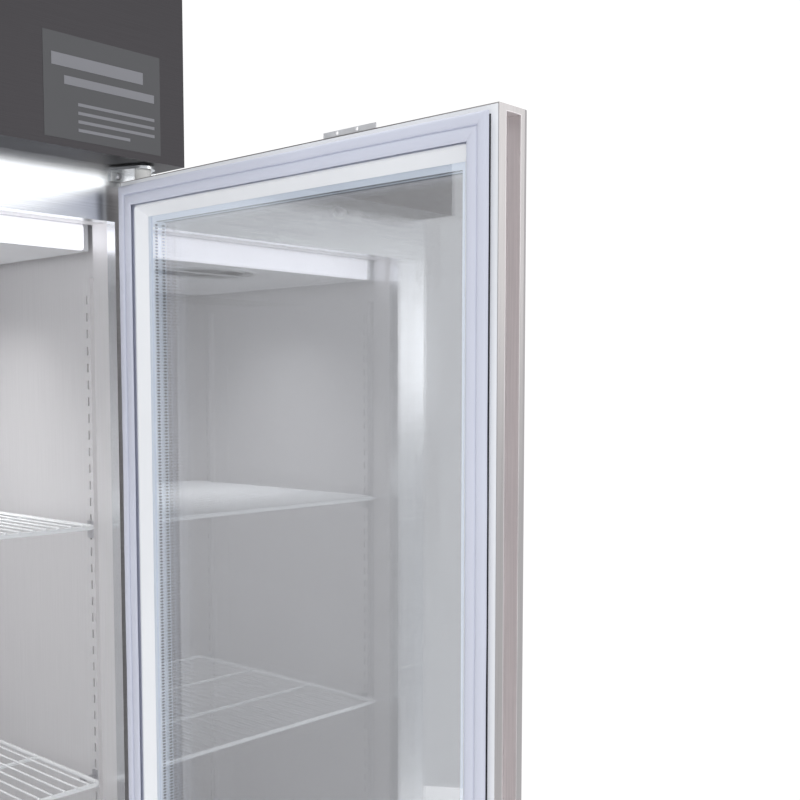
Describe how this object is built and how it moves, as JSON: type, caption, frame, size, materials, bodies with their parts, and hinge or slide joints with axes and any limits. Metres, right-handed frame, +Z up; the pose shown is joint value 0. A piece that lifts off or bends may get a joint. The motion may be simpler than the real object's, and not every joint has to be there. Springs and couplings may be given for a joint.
{
  "type": "reach-in refrigerator",
  "caption": "Upright stainless reach-in refrigerator with a glazed self-closing door, wire shelves, a top-mounted condensing unit and casters.",
  "frame": {"origin": "on the floor under the middle of the object's box, with the door open at 90 degrees", "axes": "+Z up, the front faces -Y, +X is to the right of a person facing the front"},
  "size_m": [0.73, 1.415, 2.08],
  "materials": {
    "stainless_outer": "brushed satin",
    "stainless_inner": "brushed satin, slightly soft",
    "stainless_bright": "bright annealed",
    "stainless_door": "brushed satin",
    "galvanised": "zinc spangle, dull",
    "foam": "rigid polyurethane foam",
    "header_charcoal": "satin powder coat",
    "black_plastic": "fine texture",
    "button_grey": "satin",
    "compressor_black": "semi-gloss",
    "aluminium_fins": "mill finish",
    "copper": "drawn copper",
    "shroud_white": "smooth white",
    "lamp_diffuser": "frosted",
    "zinc": "zinc plate",
    "shelf_white": "epoxy coated",
    "white_plastic": "satin",
    "nylon": "satin",
    "glass_clear": "clear, low-emissivity coating",
    "spacer_aluminium": "perforated spacer bar",
    "gasket_grey": "soft vinyl",
    "wheel_rubber": "hard rubber"
  },
  "bodies": {
    "cabinet": {"side_panels": "stainless_outer", "back_panel": "galvanised", "base_pan": "galvanised", "top_deck": "galvanised", "insulation": "foam", "inner_liner": "stainless_inner", "front_frame": "stainless_bright", "breaker_strips": "stainless_inner", "header_panel": "header_charcoal", "controller_housing": "black_plastic", "rear_grille": "galvanised", "cord_gland": "black_plastic", "unit_base": "galvanised", "compressor": "compressor_black", "condenser_coil": "aluminium_fins", "condenser_fan_shroud": "galvanised", "condenser_fan_motor": "black_plastic", "refrigerant_lines": "copper", "evaporator_shroud": "shroud_white", "evaporator_coil": "aluminium_fins", "evaporator_fan_motor": "black_plastic", "evaporator_fan_guard": "shelf_white", "led_lamp": "lamp_diffuser", "pilasters": "stainless_inner", "shelf_clips": "zinc", "shelf_lower": "shelf_white", "shelf_middle": "shelf_white", "shelf_upper": "shelf_white", "hinge_bracket_top": "stainless_bright", "hinge_bracket_bottom": "stainless_bright", "cabinet_screws": "zinc", "door_switch_body": "white_plastic", "caster_plates": "zinc"},
    "door": {"door_skin": "stainless_door", "door_core": "foam", "pull_channel": "stainless_door", "door_liner": "white_plastic", "glazing_bezel": "white_plastic", "glass_inner": "glass_clear", "glass_middle": "glass_clear", "glass_outer": "glass_clear", "glass_spacers": "spacer_aluminium", "door_gasket": "gasket_grey", "switch_actuator": "stainless_bright", "door_screws": "zinc", "hinge_bush": "nylon", "closer_cartridge": "nylon"},
    "condenser_fan": {"condenser_fan_blade": "aluminium_fins"},
    "evaporator_fan": {"evaporator_fan_blade": "black_plastic"},
    "door_switch": {"door_switch_plunger": "white_plastic"},
    "button_up": {"button_up": "button_grey"},
    "button_down": {"button_down": "button_grey"},
    "caster_fork_front_left": {"caster_fork_front_left": "zinc"},
    "caster_wheel_front_left": {"caster_wheel_front_left": "wheel_rubber"},
    "caster_fork_front_right": {"caster_fork_front_right": "zinc"},
    "caster_wheel_front_right": {"caster_wheel_front_right": "wheel_rubber"},
    "caster_fork_rear_left": {"caster_fork_rear_left": "zinc"},
    "caster_wheel_rear_left": {"caster_wheel_rear_left": "wheel_rubber"},
    "caster_fork_rear_right": {"caster_fork_rear_right": "zinc"},
    "caster_wheel_rear_right": {"caster_wheel_rear_right": "wheel_rubber"}
  },
  "joints": [
    {"name": "door_hinge", "type": "hinge", "parent": "cabinet", "child": "door", "pos_m": [0.315, -0.0515, 1], "axis": [0, 0, 1], "range_deg": [-90, 30]},
    {"name": "door_switch_press", "type": "slide", "parent": "cabinet", "child": "door_switch", "axis": [0, 1, 0], "range_m": [0, 0.007], "stiffness_N_per_m": 150, "springref_m": -0.01},
    {"name": "button_up_press", "type": "slide", "parent": "cabinet", "child": "button_up", "axis": [0, 1, 0], "range_m": [0, 0.001], "stiffness_N_per_m": 300, "springref_m": -0.003},
    {"name": "button_down_press", "type": "slide", "parent": "cabinet", "child": "button_down", "axis": [0, 1, 0], "range_m": [0, 0.001], "stiffness_N_per_m": 300, "springref_m": -0.003},
    {"name": "condenser_fan_spin", "type": "hinge", "parent": "cabinet", "child": "condenser_fan", "pos_m": [-0.02, 0.1615, 1.974], "axis": [0, 1, 0], "continuous": true},
    {"name": "evaporator_fan_spin", "type": "hinge", "parent": "cabinet", "child": "evaporator_fan", "pos_m": [0, 0.1855, 1.724], "axis": [0, 0, 1], "continuous": true},
    {"name": "caster_swivel_front_left", "type": "hinge", "parent": "cabinet", "child": "caster_fork_front_left", "pos_m": [-0.3, 0.0555, 0.138], "axis": [0, 0, 1], "continuous": true},
    {"name": "caster_roll_front_left", "type": "hinge", "parent": "caster_fork_front_left", "child": "caster_wheel_front_left", "pos_m": [-0.3, 0.0935, 0.0625], "axis": [1, 0, 0], "continuous": true},
    {"name": "caster_swivel_front_right", "type": "hinge", "parent": "cabinet", "child": "caster_fork_front_right", "pos_m": [0.3, 0.0555, 0.138], "axis": [0, 0, 1], "continuous": true},
    {"name": "caster_roll_front_right", "type": "hinge", "parent": "caster_fork_front_right", "child": "caster_wheel_front_right", "pos_m": [0.3, 0.0935, 0.0625], "axis": [1, 0, 0], "continuous": true},
    {"name": "caster_swivel_rear_left", "type": "hinge", "parent": "cabinet", "child": "caster_fork_rear_left", "pos_m": [-0.3, 0.5905, 0.138], "axis": [0, 0, 1], "continuous": true},
    {"name": "caster_roll_rear_left", "type": "hinge", "parent": "caster_fork_rear_left", "child": "caster_wheel_rear_left", "pos_m": [-0.3, 0.6285, 0.0625], "axis": [1, 0, 0], "continuous": true},
    {"name": "caster_swivel_rear_right", "type": "hinge", "parent": "cabinet", "child": "caster_fork_rear_right", "pos_m": [0.3, 0.5905, 0.138], "axis": [0, 0, 1], "continuous": true},
    {"name": "caster_roll_rear_right", "type": "hinge", "parent": "caster_fork_rear_right", "child": "caster_wheel_rear_right", "pos_m": [0.3, 0.6285, 0.0625], "axis": [1, 0, 0], "continuous": true}
  ]
}
